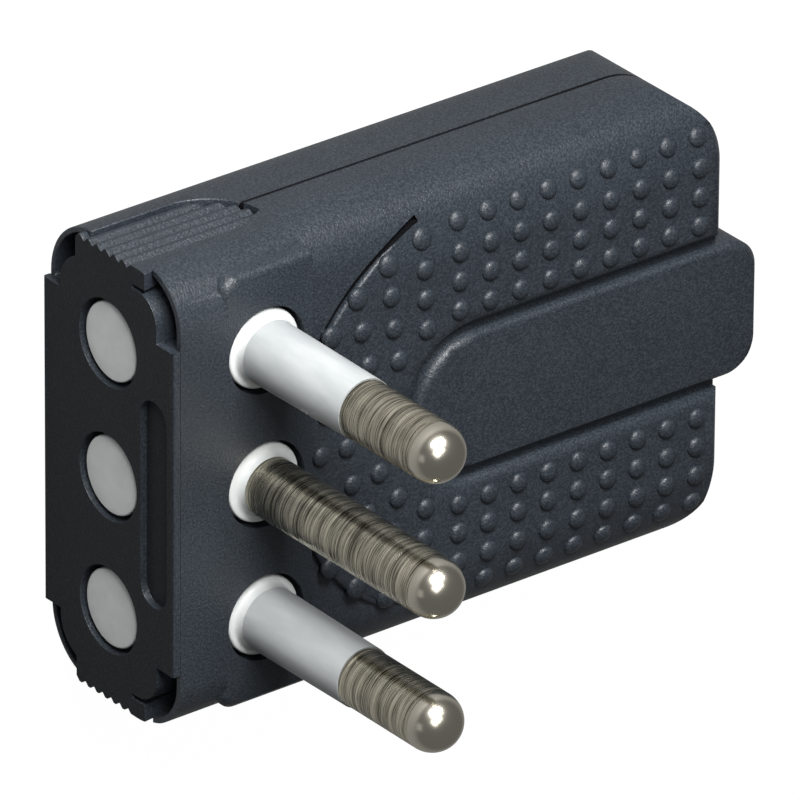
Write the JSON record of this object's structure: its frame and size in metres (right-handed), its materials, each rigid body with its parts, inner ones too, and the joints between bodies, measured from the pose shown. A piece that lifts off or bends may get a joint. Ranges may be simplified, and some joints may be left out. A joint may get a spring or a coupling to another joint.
{
  "type": "round pin plug",
  "caption": "Flat right-angle mains plug: slate grey housing with dotted grip and cable bar, sleeved round pins in line on a white carrier, ribbed end cap.",
  "frame": {"origin": "the point where the earth pin's axis meets the plane of the flat rear face", "axes": "+X from the pin end towards the cable end, +Y along the row of pins, +Z out along the pins; the plug lies on its rear face"},
  "size_m": [0.0479, 0.0324, 0.0326],
  "materials": {
    "housing": "fine spark-textured slate grey moulding",
    "cap": "fine spark-textured slate grey moulding",
    "carrier": "smooth white moulding",
    "sleeve": "smooth light grey moulding",
    "pin_metal": "nickel-plated brass, finely turned",
    "screw_metal": "zinc-plated steel",
    "clamp": "plain dark moulding",
    "bush": "soft black rubber"
  },
  "bodies": {
    "root": {"front_shell": "housing", "rear_shell": "housing", "end_cap": "cap", "pin_carrier": "carrier", "line_pin": "pin_metal", "earth_pin": "pin_metal", "neutral_pin": "pin_metal", "line_pin_sleeve": "sleeve", "neutral_pin_sleeve": "sleeve", "line_terminal_screw": "screw_metal", "earth_terminal_screw": "screw_metal", "neutral_terminal_screw": "screw_metal", "line_clamp_plate": "screw_metal", "earth_clamp_plate": "screw_metal", "neutral_clamp_plate": "screw_metal", "cord_clamp": "clamp", "cord_clamp_screw_upper": "screw_metal", "cord_clamp_screw_lower": "screw_metal", "closing_screw": "screw_metal", "cable_bush": "bush"}
  },
  "joints": []
}
